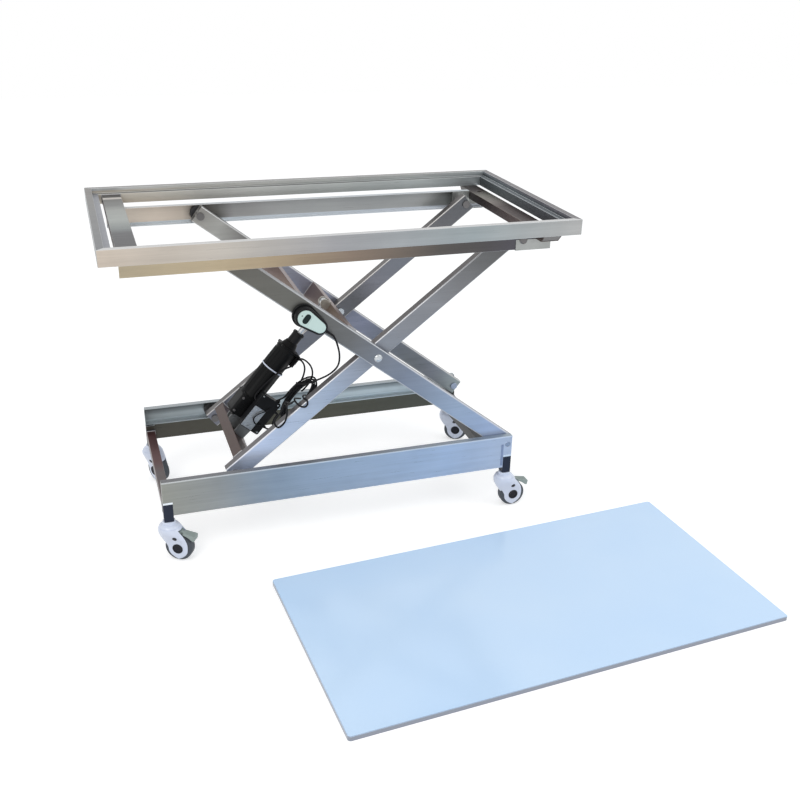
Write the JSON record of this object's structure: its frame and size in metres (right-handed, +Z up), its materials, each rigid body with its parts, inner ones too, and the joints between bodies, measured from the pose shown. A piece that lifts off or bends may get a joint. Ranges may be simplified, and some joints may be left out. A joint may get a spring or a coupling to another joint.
{
  "type": "veterinary exam table",
  "caption": "Electric scissor-lift examination table on hooded swivel casters, with a wired handset, a side actuator and its lift-off top panel laid in front.",
  "frame": {"origin": "on the floor, under the middle of the box round the table and its lift-off panel", "axes": "+X along the table, towards the end with the fixed pivots; +Y to the back, away from the handset and the panel; +Z up"},
  "size_m": [1.5318, 1.3494, 0.875],
  "materials": {
    "steel": "brushed stainless, cool grey-blue",
    "warm_steel": "brushed stainless, warm reflections",
    "rust_steel": "dark reflective stainless tube",
    "bright_steel": "bright zinc or stainless fittings",
    "black_plastic": "moulded black plastic",
    "nylon": "black nylon rollers",
    "pearl_plastic": "pearl white caster hoods",
    "tread": "dark grey wheel tread",
    "grey_plastic": "grey pedals",
    "bracket_steel": "plain steel plates",
    "black_metal": "black painted castings",
    "handset_face": "pale aqua handset face",
    "lead": "black flexible lead",
    "panel": "polished stainless panel, pale blue film"
  },
  "bodies": {
    "base": {"base_rail_front": "steel", "base_rail_back": "steel", "base_cross_left": "rust_steel", "base_cross_right": "rust_steel", "stem_plugs": "black_plastic", "lower_pivot_bolts": "bright_steel"},
    "arm_a": {"arm_a_front": "steel", "arm_a_back": "steel", "arm_a_tie": "warm_steel", "actuator_beam": "rust_steel", "rod_clevis": "bracket_steel", "centre_pins": "bright_steel", "upper_roller_axles": "bright_steel", "handset_holster": "black_plastic", "handset_back": "black_plastic", "handset_face": "handset_face", "lead_relief": "black_plastic", "handset_lead": "lead"},
    "arm_b": {"arm_b_front": "steel", "arm_b_back": "steel", "arm_b_tie": "rust_steel", "motor_bracket": "bracket_steel", "lower_roller_axles": "bright_steel", "control_box": "black_plastic", "control_plate": "bright_steel", "lead_hank": "lead"},
    "top": {"frame_front": "steel", "frame_back": "steel", "frame_left": "steel", "frame_right": "steel", "top_rail_front": "warm_steel", "top_rail_back": "steel", "top_cross_left": "rust_steel", "top_cross_right": "rust_steel", "pivot_brackets": "bright_steel", "upper_pivot_bolts": "bright_steel"},
    "actuator_body": {"gear_housing": "black_metal", "motor_can": "black_metal", "guide_tube": "black_metal", "cable_ties": "bright_steel"},
    "rod": {"actuator_rod": "bright_steel"},
    "key": {"handset_key": "black_plastic"},
    "panel": {"tabletop_panel": "panel"},
    "roller_a_front": {"roller_a_front": "nylon"},
    "roller_a_back": {"roller_a_back": "nylon"},
    "roller_b_front": {"roller_b_front": "nylon"},
    "roller_b_back": {"roller_b_back": "nylon"},
    "hood_fl": {"caster_hood_fl": "pearl_plastic"},
    "wheel_fl": {"caster_wheel_fl": "tread"},
    "pedal_fl": {"brake_pedal_fl": "grey_plastic"},
    "hood_fr": {"caster_hood_fr": "pearl_plastic"},
    "wheel_fr": {"caster_wheel_fr": "tread"},
    "pedal_fr": {"brake_pedal_fr": "grey_plastic"},
    "hood_bl": {"caster_hood_bl": "pearl_plastic"},
    "wheel_bl": {"caster_wheel_bl": "tread"},
    "hood_br": {"caster_hood_br": "pearl_plastic"},
    "wheel_br": {"caster_wheel_br": "tread"}
  },
  "joints": [
    {"name": "lift", "type": "hinge", "parent": "base", "child": "arm_a", "pos_m": [0.30712, 0.35469, 0.205], "axis": [0, 1, 0], "range_deg": [-20, 4]},
    {"name": "scissor", "type": "hinge", "parent": "arm_a", "child": "arm_b", "pos_m": [-0.08192, 0.35469, 0.507], "axis": [0, 1, 0], "range_deg": [-9, 41], "deforming": ["handset_lead"]},
    {"name": "top_level", "type": "hinge", "parent": "arm_b", "child": "top", "pos_m": [0.30712, 0.35469, 0.809], "axis": [0, 1, 0], "range_deg": [-21, 5]},
    {"name": "actuator_swing", "type": "hinge", "parent": "arm_b", "child": "actuator_body", "pos_m": [-0.44203, 0.35469, 0.28189], "axis": [0, 1, 0], "range_deg": [-1.57, 3.86]},
    {"name": "rod_swing", "type": "hinge", "parent": "arm_a", "child": "rod", "pos_m": [-0.17283, 0.35469, 0.59782], "axis": [0, 1, 0], "range_deg": [-9.57, 43.86]},
    {"name": "roller_a_front_spin", "type": "hinge", "parent": "arm_a", "child": "roller_a_front", "pos_m": [-0.47096, 0.12369, 0.809], "axis": [0, 1, 0], "continuous": true},
    {"name": "roller_a_back_spin", "type": "hinge", "parent": "arm_a", "child": "roller_a_back", "pos_m": [-0.47096, 0.58569, 0.809], "axis": [0, 1, 0], "continuous": true},
    {"name": "roller_b_front_spin", "type": "hinge", "parent": "arm_b", "child": "roller_b_front", "pos_m": [-0.47096, 0.12369, 0.205], "axis": [0, 1, 0], "continuous": true},
    {"name": "roller_b_back_spin", "type": "hinge", "parent": "arm_b", "child": "roller_b_back", "pos_m": [-0.47096, 0.58569, 0.205], "axis": [0, 1, 0], "continuous": true},
    {"name": "swivel_fl", "type": "hinge", "parent": "base", "child": "hood_fl", "pos_m": [-0.65738, 0.12619, 0.113], "axis": [0, 0, 1], "continuous": true},
    {"name": "wheel_spin_fl", "type": "hinge", "parent": "hood_fl", "child": "wheel_fl", "pos_m": [-0.63486, 0.11319, 0.0375], "axis": [0.5, 0.866, 0], "continuous": true},
    {"name": "brake_fl", "type": "hinge", "parent": "hood_fl", "child": "pedal_fl", "pos_m": [-0.6314, 0.11119, 0.08], "axis": [0.5, 0.866, 0], "range_deg": [0, 9]},
    {"name": "swivel_fr", "type": "hinge", "parent": "base", "child": "hood_fr", "pos_m": [0.30762, 0.12619, 0.113], "axis": [0, 0, 1], "continuous": true},
    {"name": "wheel_spin_fr", "type": "hinge", "parent": "hood_fr", "child": "wheel_fr", "pos_m": [0.33362, 0.12619, 0.0375], "axis": [0, 1, 0], "continuous": true},
    {"name": "brake_fr", "type": "hinge", "parent": "hood_fr", "child": "pedal_fr", "pos_m": [0.33762, 0.12619, 0.08], "axis": [0, 1, 0], "range_deg": [0, 9]},
    {"name": "swivel_bl", "type": "hinge", "parent": "base", "child": "hood_bl", "pos_m": [-0.65738, 0.58319, 0.113], "axis": [0, 0, 1], "continuous": true},
    {"name": "wheel_spin_bl", "type": "hinge", "parent": "hood_bl", "child": "wheel_bl", "pos_m": [-0.64438, 0.56067, 0.0375], "axis": [0.866, 0.5, 0], "continuous": true},
    {"name": "swivel_br", "type": "hinge", "parent": "base", "child": "hood_br", "pos_m": [0.30762, 0.58319, 0.113], "axis": [0, 0, 1], "continuous": true},
    {"name": "wheel_spin_br", "type": "hinge", "parent": "hood_br", "child": "wheel_br", "pos_m": [0.33118, 0.5722, 0.0375], "axis": [0.4226, 0.9063, 0], "continuous": true},
    {"name": "key_rock", "type": "hinge", "parent": "arm_a", "child": "key", "pos_m": [-0.27926, 0.10619, 0.64499], "axis": [0.7899, 0, -0.6132], "range_deg": [-3, 3], "stiffness_Nm_per_rad": 0.05},
    {"name": "panel_lift", "type": "slide", "parent": "base", "child": "panel", "axis": [0, 0, 1], "range_m": [0, 0.9]}
  ],
  "couplings": [
    {"joint": "scissor", "follows": "lift", "ratio": -2},
    {"joint": "top_level", "follows": "lift", "ratio": 1},
    {"joint": "actuator_swing", "follows": "lift", "ratio": -0.143},
    {"joint": "rod_swing", "follows": "lift", "ratio": -2.143}
  ]
}
